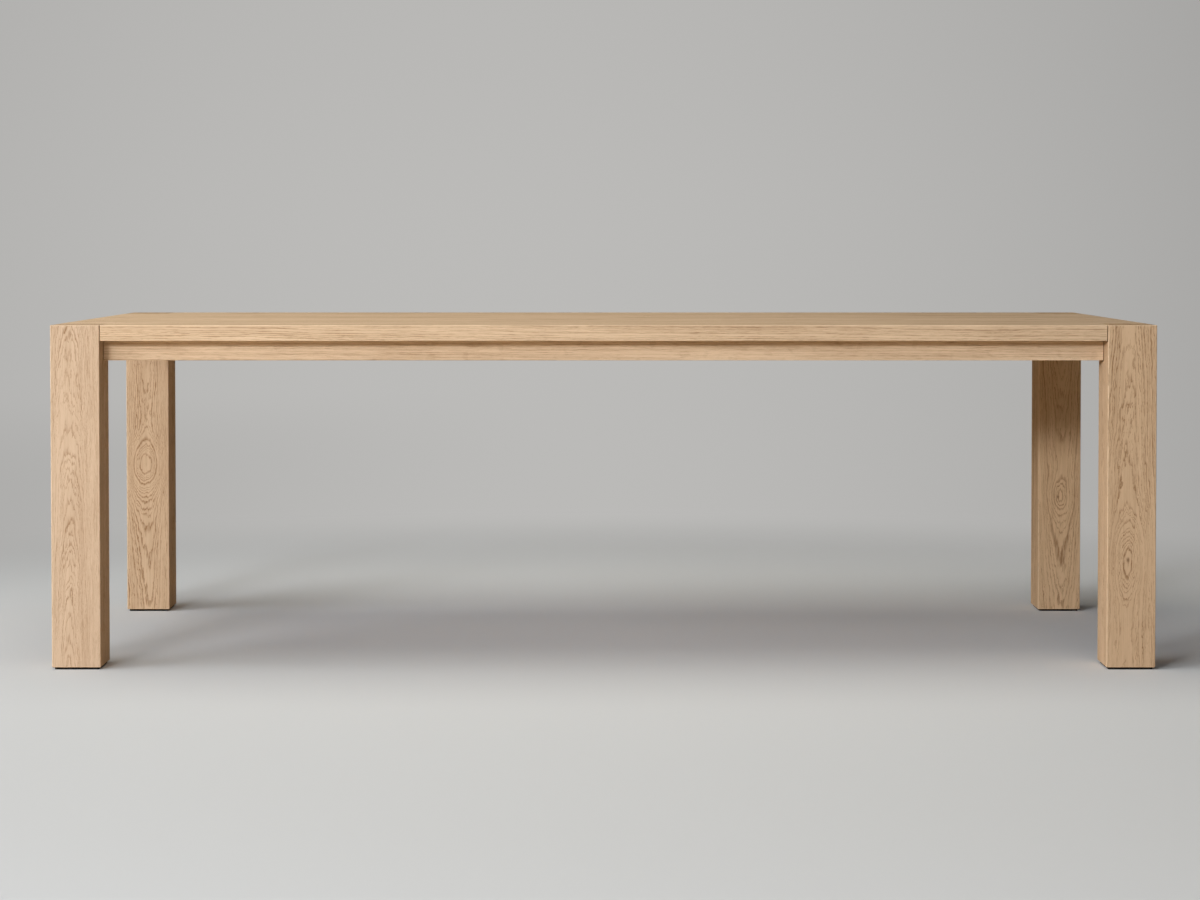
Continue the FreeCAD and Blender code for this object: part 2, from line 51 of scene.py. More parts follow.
LEG_ARRIS = 0.0022
LEG_FLAT_REACH = 0.0238
FLAT_CUTTER_REACH = 0.06
APRON_UNDERSIDE = 0.682
TOP_UNDERSIDE = 0.727
CORNER_TURNS = {"back_right": 0, "back_left": 90, "front_left": 180, "front_right": 270}
OAK_BROWN = (0.25, 0.140, 0.068, 1.0)
KNOT_BROWN = (0.15, 0.080, 0.038, 1.0)
END_GRAIN_SHADE = (0.88, 0.85, 0.80, 1.0)
# Rubbed oak along the arrises, and how far in it reaches: partly wear, partly a painted highlight.
RUBBED_OAK_AND_HIGHLIGHT = (0.80, 0.62, 0.45, 1.0)
ARRIS_WEAR_AND_HIGHLIGHT_WIDTH = 0.004
# Each leg's pale tone is its own wood's, except that the back right leg's is painted paler to lighten the
# shade it stands in under the top.
LEG_PALES_AND_PAINTED_LIGHT = {"front_left": (0.590, 0.446, 0.327), "front_right": (0.597, 0.429, 0.284),
             "back_left": (0.583, 0.430, 0.296), "back_right": (0.640, 0.452, 0.287)}
LEG_FIGURES = {
    "front_left": {"Seed": 1.0, "Pith Shift": 0.014, "Tilt": 0.050, "Figure": 0.48, "Spread": 1.15,
                   "Ring Width": 0.0018},
    "front_right": {"Seed": 2.0, "Pith Shift": 0.010, "Tilt": 0.030, "Figure": 0.85, "Spread": 1.0,
                    "Waviness": 0.018, "Eye Place": -0.14, "Eye Shift": 0.008, "Eye Lift": -0.019,
                    "Eye Length": 0.075, "Eye Width": 0.050, "Knot": 0.11},
    "back_left": {"Seed": 3.0, "Pith Shift": 0.005, "Tilt": -0.035, "Figure": 0.90, "Spread": 1.0,
                  "Eye Place": -0.01, "Eye Shift": 0.004, "Eye Lift": -0.020, "Eye Length": 0.065,
                  "Ring Width": 0.0021},
    "back_right": {"Seed": 4.0, "Pith Shift": -0.006, "Tilt": -0.040, "Figure": 0.65, "Spread": 1.0,
                   "Eye Place": -0.09, "Eye Shift": 0.004, "Eye Lift": -0.010, "Eye Length": 0.045,
                   "Eye Width": 0.036, "Knot": 0.16},
}


def put(tree, kind, inputs=None, **settings):
    """Adds a node with its settings, and links or sets its inputs."""
    made = tree.nodes.new(kind)
    for name, value in settings.items():
        setattr(made, name, value)
    feed(tree, made, inputs or {})
    return made


def feed(tree, node, inputs):
    """Links or sets the inputs of a node that is there already."""
    for key, value in inputs.items():
        if isinstance(value, bpy.types.NodeSocket):
            tree.links.new(value, node.inputs[key])
        else:
            node.inputs[key].default_value = value


def reckon(tree, operation, *values):
    """The result of a sum on one, two or three values."""
    return put(tree, "ShaderNodeMath", dict(enumerate(values)), operation=operation).outputs[0]


def arrange(tree, operation, *values):
    """The result of a sum on vectors."""
    return put(tree, "ShaderNodeVectorMath", dict(enumerate(values)), operation=operation).outputs[0]


def scale_vector(tree, vector, share):
    """A vector times a share."""
    return put(tree, "ShaderNodeVectorMath", {0: vector, "Scale": share}, operation="SCALE").outputs[0]


def ease_between(tree, value, start, end, low=0.0, high=1.0):
    """A smooth step from low to high while the value goes from start to end."""
    inputs = {"Value": value, "From Min": start, "From Max": end, "To Min": low, "To Max": high}
    made = put(tree, "ShaderNodeMapRange", inputs, interpolation_type="SMOOTHSTEP")
    return made.outputs["Result"]


def blend_colours(tree, share, first, second, way="MIX"):
    """Two colours mixed by a share."""
    inputs = {0: share, 6: first, 7: second}
    return put(tree, "ShaderNodeMix", inputs, data_type="RGBA", blend_type=way).outputs[2]


def relief(tree, strength, depth, height):
    """The fine relief of a finish, as a normal."""
    inputs = {"Strength": strength, "Distance": depth, "Height": height}
    return put(tree, "ShaderNodeBump", inputs).outputs[0]


def new_group(name, takes, gives):
    """An empty shader group with its named sockets, listed by kind, and its two end nodes."""
    group = bpy.data.node_groups.new(name, "ShaderNodeTree")
    for way, sockets in (("INPUT", takes), ("OUTPUT", gives)):
        for kind, labels in sockets.items():
            for label in labels:
                group.interface.new_socket(label, in_out=way, socket_type="NodeSocket" + kind)
    return group, put(group, "NodeGroupInput").outputs, put(group, "NodeGroupOutput").inputs


def new_material(name):
    """An empty material, with its node tree and its shader."""
    material = bpy.data.materials.new(name)
    material.use_nodes = True
    return material, material.node_tree, material.node_tree.nodes["Principled BSDF"]


def make_oak_figure():
    """Solid oak, cut anywhere: growth rings round a pith line, pores, rays and colour drift.

    The vector is in metres in the board's own frame: X along the grain, Y across the flat-sawn face,
    Z out of it. The pith runs below the face, tilted, so the rings surface as nested arches.
    """
    takes = {"Vector": ("Vector", "Normal"),
             "Float": ("Seed", "Pith Depth", "Pith Shift", "Tilt", "Spread", "Ring Width", "Waviness",
                       "Eye Place", "Eye Shift", "Eye Lift", "Eye Length", "Eye Width", "Knot", "Figure"),
             "Color": ("Pale", "Brown")}
    gives = {"Color": ("Color",), "Float": ("Roughness", "Height")}
    group, given, result = new_group("oak_figure", takes, gives)
    place = arrange(group, "ADD", given["Vector"], scale_vector(group, (3.71, 5.37, 2.93), given["Seed"]))

    def grainwise(along, across, detail, roughness=0.5):
        """Noise stretched along the grain, with a feature count per metre each way.

        The noise is set askew, so that its cells don't line up in rows across the grain.
        """
        askew = put(group, "ShaderNodeVectorMath", {0: place, 1: (along, 0.37 * across, 0.53 * across)},
                    operation="DOT_PRODUCT").outputs["Value"]
        spread = arrange(group, "MULTIPLY", place, (0.0, across, across))
        first = put(group, "ShaderNodeCombineXYZ", {"X": askew}).outputs[0]
        return put(group, "ShaderNodeTexNoise", {
            "Vector": arrange(group, "ADD", spread, first), "Scale": 1.0, "Detail": detail,
            "Roughness": roughness}).outputs

    def swing(*noise):
        """Noise along the grain, as a swing to both sides of nought."""
        return reckon(group, "SUBTRACT", grainwise(*noise)["Fac"], 0.5)

    def swing_three(*noise):
        """The same in three ways at once."""
        return arrange(group, "SUBTRACT", grainwise(*noise)["Color"], (0.5, 0.5, 0.5))

    def square_sum(first, second):
        """The sum of two squares."""
        return reckon(group, "MULTIPLY_ADD", first, first, reckon(group, "MULTIPLY", second, second))

    # The rings wander along the trunk
    ripple = arrange(group, "MULTIPLY", swing_three(28.0, 120.0, 3.0, 0.65), (0.32, 0.32, 0.32))
    drift = arrange(group, "ADD", swing_three(3.2, 9.0, 2.0), ripple)
    reach = put(group, "ShaderNodeCombineXYZ", {
        "Y": given["Waviness"], "Z": given["Waviness"]}).outputs[0]
    bent = arrange(group, "ADD", given["Vector"], arrange(group, "MULTIPLY", drift, reach))
    along, across, out = put(group, "ShaderNodeSeparateXYZ", {0: bent}).outputs

    # A branch lifts or dents them into the eye of a knot
    eye_along = reckon(group, "SUBTRACT", along, given["Eye Place"])
    eye_along = reckon(group, "DIVIDE", eye_along, given["Eye Length"])
    eye_across = reckon(group, "SUBTRACT", across, given["Eye Shift"])
    eye_across = reckon(group, "DIVIDE", eye_across, given["Eye Width"])
    eye_square = square_sum(eye_along, eye_across)
    eye = reckon(group, "EXPONENT", reckon(group, "MULTIPLY", eye_square, -1.0))
    depth = reckon(group, "ADD", out, given["Pith Depth"])
    depth = reckon(group, "MULTIPLY_ADD", along, given["Tilt"], depth)
    depth = reckon(group, "MULTIPLY_ADD", eye, given["Eye Lift"], depth)
    beside = reckon(group, "SUBTRACT", across, given["Pith Shift"])
    beside = reckon(group, "MULTIPLY", beside, given["Spread"])
    radius = reckon(group, "SQRT", square_sum(beside, depth))

    # Each year's ring: broad pores at its start, dense wood after them
    slow_growth = reckon(group, "MULTIPLY_ADD", radius, 110.0, given["Seed"])
    slow_growth = put(group, "ShaderNodeTexNoise", {"W": slow_growth, "Scale": 1.0, "Detail": 1.0},
                      noise_dimensions="1D").outputs["Fac"]
    years = reckon(group, "DIVIDE", radius, given["Ring Width"])
    years = reckon(group, "MULTIPLY_ADD", slow_growth, 3.0, years)
    year = reckon(group, "FLOOR", years)
    season = reckon(group, "SUBTRACT", years, year)
    chance = put(group, "ShaderNodeTexWhiteNoise", {"W": reckon(group, "ADD", year, given["Seed"])},
                 noise_dimensions="1D").outputs["Value"]
    spring_end = reckon(group, "MULTIPLY_ADD", chance, 0.35, 0.25)
    spring = reckon(group, "MAXIMUM", ease_between(group, season, 0.86, 1.0),
                    ease_between(group, season, 0.0, spring_end, 1.0, 0.0))
    ring_mark = reckon(group, "MULTIPLY", spring, reckon(group, "MULTIPLY_ADD", chance, 0.7, 0.3))

    # A ring is drawn by rows of dashes, fades here and there, and is quiet where the saw met it steeply
    broken = ease_between(group, grainwise(16.0, 400.0, 2.0, 0.6)["Fac"], 0.32, 0.62, 0.50, 1.20)
    fading = ease_between(group, grainwise(5.0, 16.0, 2.0)["Fac"], 0.30, 0.65, 0.45, 1.15)
    steep = reckon(group, "DIVIDE", reckon(group, "ABSOLUTE", beside), reckon(group, "ABSOLUTE", depth))
    quiet = ease_between(group, steep, 0.35, 1.3, 1.0, 0.60)
    drawn = reckon(group, "MULTIPLY", broken, reckon(group, "MULTIPLY", fading, quiet))
    ring_mark = reckon(group, "MULTIPLY", ring_mark, drawn)

    # The pores: short dark dashes, crowded in the spring wood and sparse after it
    start = reckon(group, "MULTIPLY_ADD", spring, -0.20, 0.66)
    pores = ease_between(group, grainwise(48.0, 1300.0, 1.0)["Fac"], start,
                         reckon(group, "ADD", start, 0.10))

    # Colour drift, from broad clouds to single fibres
    clouds = swing(2.4, 7.0, 2.0)
    streaks = swing(1.3, 42.0, 3.0, 0.6)
    dashes = swing(14.0, 170.0, 2.0, 0.6)
    fibres = swing(9.0, 340.0, 3.0, 0.6)

    # Rays: thin radial sheets, short dashes on the flat face and flecks on the quarter face
    turn = reckon(group, "MULTIPLY", reckon(group, "ARCTAN2", beside, depth), 0.06)
    sheet = put(group, "ShaderNodeCombineXYZ", {
        "X": reckon(group, "MULTIPLY", along, 42.0), "Y": reckon(group, "MULTIPLY", turn, 900.0),
        "Z": reckon(group, "MULTIPLY", radius, 26.0)}).outputs[0]
    rays = put(group, "ShaderNodeTexNoise", {"Vector": sheet, "Scale": 1.0, "Detail": 0.0}).outputs["Fac"]
    rays = ease_between(group, rays, 0.66, 0.76)

    tone = reckon(group, "MULTIPLY", ring_mark, given["Figure"])
    for mark, share in ((streaks, 0.60), (dashes, 0.45), (fibres, 0.35), (clouds, 0.40), (pores, 0.34),
                        (rays, 0.10)):
        tone = reckon(group, "MULTIPLY_ADD", mark, share, tone)
    tone = put(group, "ShaderNodeClamp", {"Value": reckon(group, "ADD", tone, 0.12)}).outputs[0]
    colour = blend_colours(group, tone, given["Pale"], given["Brown"])
    knot = ease_between(group, reckon(group, "SQRT", eye_square), 0.0, given["Knot"], 1.0, 0.0)
    colour = blend_colours(group, reckon(group, "MULTIPLY", knot, 0.75), colour, KNOT_BROWN)

    # Cut across, the open ends of the pores drink the oil and darken
    end_on = put(group, "ShaderNodeSeparateXYZ", {0: given["Normal"]}).outputs[0]
    end_on = ease_between(group, reckon(group, "ABSOLUTE", end_on), 0.6, 0.9)
    end_tone = blend_colours(group, 1.0, colour, END_GRAIN_SHADE, "MULTIPLY")
    colour = blend_colours(group, end_on, colour, end_tone)
    group.links.new(colour, result["Color"])

    rough = reckon(group, "MULTIPLY_ADD", spring, 0.06, 0.66)
    rough = reckon(group, "MULTIPLY_ADD", pores, 0.15, rough)
    group.links.new(reckon(group, "MULTIPLY_ADD", end_on, 0.12, rough), result["Roughness"])
    height = reckon(group, "MULTIPLY_ADD", pores, -0.7, reckon(group, "MULTIPLY", spring, -0.25))
    group.links.new(reckon(group, "MULTIPLY_ADD", fibres, 0.5, height), result["Height"])
    return group


def make_arris_wear_and_highlight():
    """Marks the last few millimetres before a block's arrises, unevenly: partly the wear that sanding
    leaves, partly a painted highlight where the rounded arrises catch the light.
    """
    takes = {"Vector": ("Vector", "Low", "High"), "Float": ("Width",)}
    group, given, result = new_group("arris_wear_and_highlight", takes, {"Float": ("Mask",)})
    from_low = arrange(group, "SUBTRACT", given["Vector"], given["Low"])
    from_high = arrange(group, "SUBTRACT", given["High"], given["Vector"])
    x, y, z = put(group, "ShaderNodeSeparateXYZ",
                  {0: arrange(group, "MINIMUM", from_low, from_high)}).outputs
    # An arris is near where the second of the three distances to the faces is small
    least = reckon(group, "MINIMUM", reckon(group, "MINIMUM", x, y), z)
    most = reckon(group, "MAXIMUM", reckon(group, "MAXIMUM", x, y), z)
    whole = reckon(group, "ADD", reckon(group, "ADD", x, y), z)
    edge_distance = reckon(group, "SUBTRACT", reckon(group, "SUBTRACT", whole, least), most)
    patchy = put(group, "ShaderNodeTexNoise", {"Vector": given["Vector"], "Scale": 45.0, "Detail": 3.0})
    reach = reckon(group, "MULTIPLY", given["Width"],
                   reckon(group, "MULTIPLY_ADD", patchy.outputs["Fac"], 1.6, 0.2))
    group.links.new(ease_between(group, edge_distance, 0.0, reach, 1.0, 0.0), result["Mask"])
    return group


oak_figure = make_oak_figure()
arris_wear_and_highlight = make_arris_wear_and_highlight()


def oak_material(name, box, sawn, figure, pale, arris_box=None):
    """Oiled oak for one piece: its box, the axes of its grain and its flat face, and its figure."""
    along, out = Vector(sawn[0]), Vector(sawn[1])
    low, high = box
    turn = Matrix((along, out.cross(along), out)).transposed().to_euler()
    material, tree, shader = new_material(name)
    where = put(tree, "ShaderNodeTexCoord").outputs
    board = put(tree, "ShaderNodeMapping", {
        "Vector": where["Object"], "Location": (low + high) / 2, "Rotation": turn}, vector_type="TEXTURE")
    facing = put(tree, "ShaderNodeMapping", {
        "Vector": where["Normal"], "Rotation": turn}, vector_type="TEXTURE")
    values = {"Pith Depth": 0.0, "Pith Shift": 0.0, "Spread": 1.4, "Ring Width": 0.0026, "Waviness": 0.014,
              "Eye Place": 0.0, "Eye Shift": 0.0, "Eye Lift": 0.0, "Eye Length": 0.1, "Eye Width": 1.0,
              "Knot": 0.0, "Figure": 0.6, "Brown": OAK_BROWN}
    values.update(figure)
    values.update({"Vector": board.outputs[0], "Normal": facing.outputs[0], "Pale": (*pale, 1.0)})
    wood = put(tree, "ShaderNodeGroup", node_tree=oak_figure)
    wear_and_highlight = put(tree, "ShaderNodeGroup", node_tree=arris_wear_and_highlight)
    wear_and_highlight_low, wear_and_highlight_high = arris_box or box
    feed(tree, wood, values)
    feed(tree, wear_and_highlight, {"Vector": where["Object"], "Low": wear_and_highlight_low, "High": wear_and_highlight_high,
                      "Width": ARRIS_WEAR_AND_HIGHLIGHT_WIDTH})
    # The arrises are painted lighter: partly rubbed wear, partly a painted highlight.
    lighter = blend_colours(tree, 0.35, wood.outputs["Color"], RUBBED_OAK_AND_HIGHLIGHT)
    colour = blend_colours(tree, wear_and_highlight.outputs["Mask"], wood.outputs["Color"], lighter)
    feed(tree, shader, {
        "Base Color": colour, "Roughness": wood.outputs["Roughness"],
        "Normal": relief(tree, 0.4, 0.0004, wood.outputs["Height"]), "Specular IOR Level": 0.015})
    return material


def block(name, low, high):
    """A squared block between two corners, as a new piece."""
    bpy.ops.object.select_all(action="DESELECT")
    low, high = Vector(low), Vector(high)
    bpy.ops.mesh.primitive_cube_add(size=1.0, location=(low + high) / 2, scale=high - low)
    bpy.ops.object.transform_apply(location=True, rotation=True, scale=True)
    piece = bpy.context.object
    piece.name = name
    return piece


def pick_edges(piece, wanted):
    """Leaves a piece in edit mode with the wanted edges selected, chosen by their two ends."""
    bpy.ops.object.mode_set(mode="EDIT")
    bpy.ops.mesh.select_mode(type="EDGE")
    bpy.ops.mesh.select_all(action="DESELECT")
    bpy.ops.object.mode_set(mode="OBJECT")
    points = piece.data.vertices
    for edge in piece.data.edges:
        edge.select = wanted(points[edge.vertices[0]].co, points[edge.vertices[1]].co)
    bpy.ops.object.mode_set(mode="EDIT")


def every_edge(first, second):
    """Takes any edge."""
    return True


def round_arrises(piece, radius, wanted=every_edge, segments=4):
    """Rounds over the wanted edges of a piece."""
    pick_edges(piece, wanted)
    bpy.ops.mesh.bevel(offset=radius, segments=segments, profile=0.5, affect="EDGES")
    bpy.ops.object.mode_set(mode="OBJECT")


def apply_modifier(piece, kind, **settings):
    """Puts a modifier with its settings on a piece, and applies it."""
    bpy.context.view_layer.objects.active = piece
    modifier = piece.modifiers.new(kind.lower(), kind)
    for name, value in settings.items():
        setattr(modifier, name, value)
    bpy.ops.object.modifier_apply(modifier=modifier.name)


def carve(piece, cutter, operation="DIFFERENCE"):
    """Cuts one shape out of a piece, or keeps what they share, and throws the cutter away."""
    apply_modifier(piece, "BOOLEAN", object=cutter, operation=operation, solver="EXACT")
    bpy.data.objects.remove(cutter)


def shade(piece, angle=40.0):
    """Shades a piece's rounded arrises smooth, and keeps its flat faces flat."""
    bpy.ops.object.select_all(action="DESELECT")
    piece.select_set(True)
    bpy.context.view_layer.objects.active = piece
    bpy.ops.object.shade_smooth_by_angle(angle=math.radians(angle))
    apply_modifier(piece, "WEIGHTED_NORMAL", keep_sharp=True)


def place_copy(piece, name, matrix):
    """A copy of a piece with its own mesh, moved to its place."""
    twin = piece.copy()
    twin.data = piece.data.copy()
    twin.name = name
    scene.collection.objects.link(twin)
    twin.data.transform(matrix)
    return twin


def settle(piece, material, slot, *stands_for):
    """Gives a piece its finish and its place in the table."""
    piece.data.materials.clear()
    piece.data.materials.append(material)
    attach(piece, "root")
    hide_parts(*stands_for)


def turn_about(axis, degrees):
    """A turn about one of the three axes."""
    return Matrix.Rotation(math.radians(degrees), 4, axis)


leg_low, leg_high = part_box("leg_back_right")
leg_side = leg_high.x - leg_low.x


def to_corner(corner):
    """Moves a piece from the corner's own frame, whose origin is the leg's inner edge, to its corner."""
    side_x = -leg_low.x if "left" in corner else leg_low.x
    side_y = -leg_low.y if "front" in corner else leg_low.y
    return Matrix.Translation((side_x, side_y, 0)) @ turn_about("Z", CORNER_TURNS[corner])


post = block("post", (0, 0, leg_low.z), (leg_side, leg_side, leg_high.z))
round_arrises(post, LEG_ARRIS)
flat_depth = LEG_FLAT_REACH / math.sqrt(2)
plane_cut = block("plane_cut", (-flat_depth, -FLAT_CUTTER_REACH, APRON_UNDERSIDE),
                  (flat_depth, FLAT_CUTTER_REACH, TOP_UNDERSIDE))
plane_cut.data.transform(turn_about("Z", 45))
carve(post, plane_cut)
shade(post)
for corner, figure in LEG_FIGURES.items():
    leg = place_copy(post, "oak_leg_" + corner, to_corner(corner))
    finish = oak_material("leg_oak_" + corner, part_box("leg_" + corner), ((0, 0, 1), (0, -1, 0)), figure,
                          LEG_PALES_AND_PAINTED_LIGHT[corner])
    settle(leg, finish, "leg_oak", "leg_" + corner)
bpy.data.objects.remove(post)


# Foot pads: squares of dense black felt, glued under the legs.
# They are cut a little smaller than the leg all round, with their corners clipped round.

PAD_INSET = 0.005
PAD_THICKNESS = 0.005
PAD_CORNER = 0.003
PAD_ARRIS = 0.0009
FELT_DARK = (0.004, 0.004, 0.004, 1.0)
FELT_LIGHT = (0.022, 0.021, 0.020, 1.0)


def felt_material():
    """Pressed black felt, with short fibres in every direction."""
    material, tree, shader = new_material("black_felt")
    where = put(tree, "ShaderNodeTexCoord").outputs["Object"]
    fuzz = put(tree, "ShaderNodeTexNoise", {"Vector": where, "Scale": 1800.0, "Detail": 4.0})
    fuzz = fuzz.outputs["Fac"]
    feed(tree, shader, {
        "Base Color": blend_colours(tree, fuzz, FELT_DARK, FELT_LIGHT),
        "Roughness": ease_between(tree, fuzz, 0.2, 0.8, 0.85, 1.0),
        "Normal": relief(tree, 0.6, 0.0006, fuzz), "Specular IOR Level": 0.15})
    return material


def upright_edge(first, second):
    """Takes an edge that stands."""
    return abs(first.z - second.z) > 0.001


def level_edge(first, second):
    """Takes an edge that lies level."""
    return not upright_edge(first, second)


black_felt = felt_material()
pad = block("pad", (PAD_INSET, PAD_INSET, 0), (leg_side - PAD_INSET, leg_side - PAD_INSET, PAD_THICKNESS))
round_arrises(pad, PAD_CORNER, upright_edge, 5)
round_arrises(pad, PAD_ARRIS, level_edge, 3)
shade(pad)
for corner in CORNER_TURNS:
    settle(place_copy(pad, "felt_pad_" + corner, to_corner(corner)), black_felt, "black_felt",
           "foot_pad_" + corner)
bpy.data.objects.remove(pad)


# Aprons: four low rails of oak under the top, set back from its edges and dowelled to the legs.
# They are sawn on the quarter, so their faces show straight grain. Their inner faces carry the slots
# for the top's clips and, near each end, the saw kerf for a bracket's lip.

# The aprons' pale tone is painted lighter than the top's, to lighten the shade that the top's overhang
# casts on them. The cross rails take the same tone.
APRON_PALE_AND_PAINTED_LIGHT = (0.705, 0.540, 0.385)
APRON_ARRIS = 0.0013
APRON_END_GAP = 0.0010
KERF_START = 0.05556
KERF_END = 0.05966
KERF_DEPTH = 0.0063
SLOT_LOW = 0.713
SLOT_HIGH = 0.716
SLOT_DEPTH = 0.009
SLOT_LENGTH = 0.022
CUT_PAST = 0.01
CLIPS_LONG = (-0.83325, -0.27775, 0.27775, 0.83325)
CLIPS_END = (-0.2642, 0.2489)
QUARTER_SAWN = {"Pith Depth": 0.16, "Waviness": 0.006}
APRON_FIGURES = {
    "front": (180, {"Seed": 11.0, "Tilt": 0.003}),
    "back": (0, {"Seed": 12.0, "Tilt": -0.003}),
    "left": (90, {"Seed": 13.0, "Tilt": 0.004}),
    "right": (-90, {"Seed": 14.0, "Tilt": -0.004}),
}

for side, (turn, figure) in APRON_FIGURES.items():
    node = "apron_" + side
    is_long = side in ("front", "back")
    low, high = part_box(node)
    turning = turn_about("Z", turn)
    corners = [turning.inverted() @ corner for corner in (low, high)]
    own_low = Vector(map(min, *corners)) + Vector((APRON_END_GAP, 0, 0))
    own_high = Vector(map(max, *corners)) - Vector((APRON_END_GAP, 0, 0))
    rail = block("oak_apron_" + side, own_low, own_high)
    round_arrises(rail, APRON_ARRIS)
    inner = own_low.y
    for place in CLIPS_LONG if is_long else CLIPS_END:
        spot = Vector((place, 0, 0)) if is_long else Vector((0, place, 0))
        middle = (turning.inverted() @ spot).x
        carve(rail, block("slot", (middle - SLOT_LENGTH / 2, inner - CUT_PAST, SLOT_LOW),
                          (middle + SLOT_LENGTH / 2, inner + SLOT_DEPTH, SLOT_HIGH)))
    for end, sign in ((own_low.x - APRON_END_GAP, 1), (own_high.x + APRON_END_GAP, -1)):
        kerf_low, kerf_high = sorted((end + sign * KERF_START, end + sign * KERF_END))
        carve(rail, block("kerf", (kerf_low, inner - CUT_PAST, own_low.z - CUT_PAST),
                          (kerf_high, inner + KERF_DEPTH, own_high.z + CUT_PAST)))
    rail.data.transform(turning)
    shade(rail)
    sawn = ((1, 0, 0) if is_long else (0, 1, 0), (0, 0, 1))
    finish = oak_material("apron_oak_" + side, (low, high), sawn, {**QUARTER_SAWN, **figure}, APRON_PALE_AND_PAINTED_LIGHT)
    settle(rail, finish, "frame_oak", node)


# Dowels: beech pins, two to each end of an apron, which line it up with the leg.
# They are out of sight in their holes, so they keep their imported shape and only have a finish.

BEECH_PALE = (0.62, 0.42, 0.28)
BEECH_FIGURE = {"Seed": 50.0, "Pith Depth": 0.2, "Tilt": 0.01, "Figure": 0.15}


def dress(node, material):
    """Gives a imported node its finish."""
    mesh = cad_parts[node].data
    mesh.materials.clear()
    mesh.materials.append(material)


def dress_in_beech(node, name):
    """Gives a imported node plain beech, with its grain along the table."""
    sawn = ((1, 0, 0), (0, 0, 1))
    dress(node, oak_material(name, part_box(node), sawn, BEECH_FIGURE, BEECH_PALE))


dress_in_beech("apron_dowels", "dowel_beech")


# Corner brackets: steel strip, bent to lie across each corner between two aprons, and zinc-plated.
# The lips at its ends hook into saw kerfs in the aprons, so that the bolt's pull can't open the joint.

BRACKET_LOW = 0.6855
BRACKET_HEIGHT = 0.038
BRACKET_SHEET = 0.0025
BRACKET_BEND = 0.0012
BRACKET_PATH = ((0.041, -0.05686), (0.035, -0.05686), (0.035, -0.01686),
                (-0.01686, 0.035), (-0.05686, 0.035), (-0.05686, 0.041))
BURR_WIDTH = 0.0003
BURR_ANGLE = 50
ZINC_DULL = (0.50, 0.51, 0.52, 1.0)
ZINC_BRIGHT = (0.66, 0.66, 0.65, 1.0)


def zinc_material():
    """Bright zinc plate, with the spangle and rub marks of small fittings."""
    material, tree, shader = new_material("zinc_steel")
    where = put(tree, "ShaderNodeTexCoord").outputs["Object"]
    spangle = put(tree, "ShaderNodeTexNoise", {"Vector": where, "Scale": 260.0, "Detail": 3.0})
    spangle = spangle.outputs["Fac"]
    rubs = put(tree, "ShaderNodeTexNoise", {"Vector": where, "Scale": 900.0, "Detail": 2.0})
    feed(tree, shader, {
        "Base Color": blend_colours(tree, spangle, ZINC_DULL, ZINC_BRIGHT),
        "Roughness": ease_between(tree, spangle, 0.25, 0.75, 0.30, 0.48),
        "Normal": relief(tree, 0.15, 0.0001, rubs.outputs["Fac"]), "Metallic": 1.0})
    return material


def bent_strip(name, path, width, sheet, bend):
    """Sheet steel folded along a path. Seen against its width, the sheet lies on the path's left."""
    bpy.ops.object.select_all(action="DESELECT")
    path = [Vector(point) for point in path]
    leaf = path[1] - path[0]
    axes = Matrix((leaf.normalized(), width.normalized(), leaf.cross(width).normalized())).transposed()
    bpy.ops.mesh.primitive_plane_add(size=1.0, location=(path[0] + path[1] + width) / 2,
                                     rotation=axes.to_euler())
    bpy.ops.transform.resize(value=(leaf.length, width.length, 1), orient_type="LOCAL")
    bpy.ops.object.transform_apply(location=True, rotation=True, scale=True)
    piece = bpy.context.object
    piece.name = name

    def at_fold(fold, point):
        """Whether a point lies on a fold, at one side of the strip or the other."""
        return min((point - fold).length, (point - fold - width).length) < 1e-5

    for near, far in zip(path[1:], path[2:]):
        pick_edges(piece, lambda first, second: at_fold(near, first) and at_fold(near, second))
        bpy.ops.mesh.extrude_region_move(TRANSFORM_OT_translate={"value": far - near})
        bpy.ops.object.mode_set(mode="OBJECT")
    round_arrises(piece, bend, lambda first, second: any(
        at_fold(fold, first) and at_fold(fold, second) for fold in path[1:-1]), 5)
    apply_modifier(piece, "SOLIDIFY", thickness=sheet, offset=-1.0)
    apply_modifier(piece, "BEVEL", width=BURR_WIDTH, segments=2, angle_limit=math.radians(BURR_ANGLE))
    shade(piece)
    return piece


zinc_steel = zinc_material()
bracket = bent_strip("bracket", [(x, y, BRACKET_LOW) for x, y in BRACKET_PATH],
                     Vector((0, 0, BRACKET_HEIGHT)), BRACKET_SHEET, BRACKET_BEND)
for corner in CORNER_TURNS:
    settle(place_copy(bracket, "steel_bracket_" + corner, to_corner(corner)), zinc_steel, "zinc_steel",
           "corner_bracket_" + corner)
bpy.data.objects.remove(bracket)


# Hanger bolts, washers and nuts: each bolt is screwed into the flat of a leg, and stands out through
# the bracket. Its nut pulls the leg against the ends of the two aprons, and can be undone for moving.

BOLT_RADIUS = 0.0049
BOLT_ROOT = 0.0042
BOLT_PITCH = 0.0015
BOLT_TIP = 0.0235
BOLT_TIP_CHAMFER = 0.0011
BOLT_POINT = -0.060
BOLT_POINT_RADIUS = 0.0010
BOLT_TAPER_END = -0.051
THREAD_START = 0.0005
THREAD_TURNS = 14
WASHER_SEAT = 0.0065
WASHER_RADIUS = 0.010
WASHER_THICKNESS = 0.002
WASHER_BORE = 0.0054
WASHER_LOW_EDGE = 0.0002
WASHER_HIGH_EDGE = 0.0004
NUT_ACROSS_FLATS = 0.017
NUT_HEIGHT = 0.008
NUT_FACE_RADIUS = 0.0083
NUT_CHAMFER = 0.0010
NUT_BORE = 0.0050
NUT_MOUTH = 0.0068
NUT_MOUTH_DEPTH = 0.0008
BORE_PAST = 0.001
SORTING_SPOT = (0.31, 0.17, -0.53)


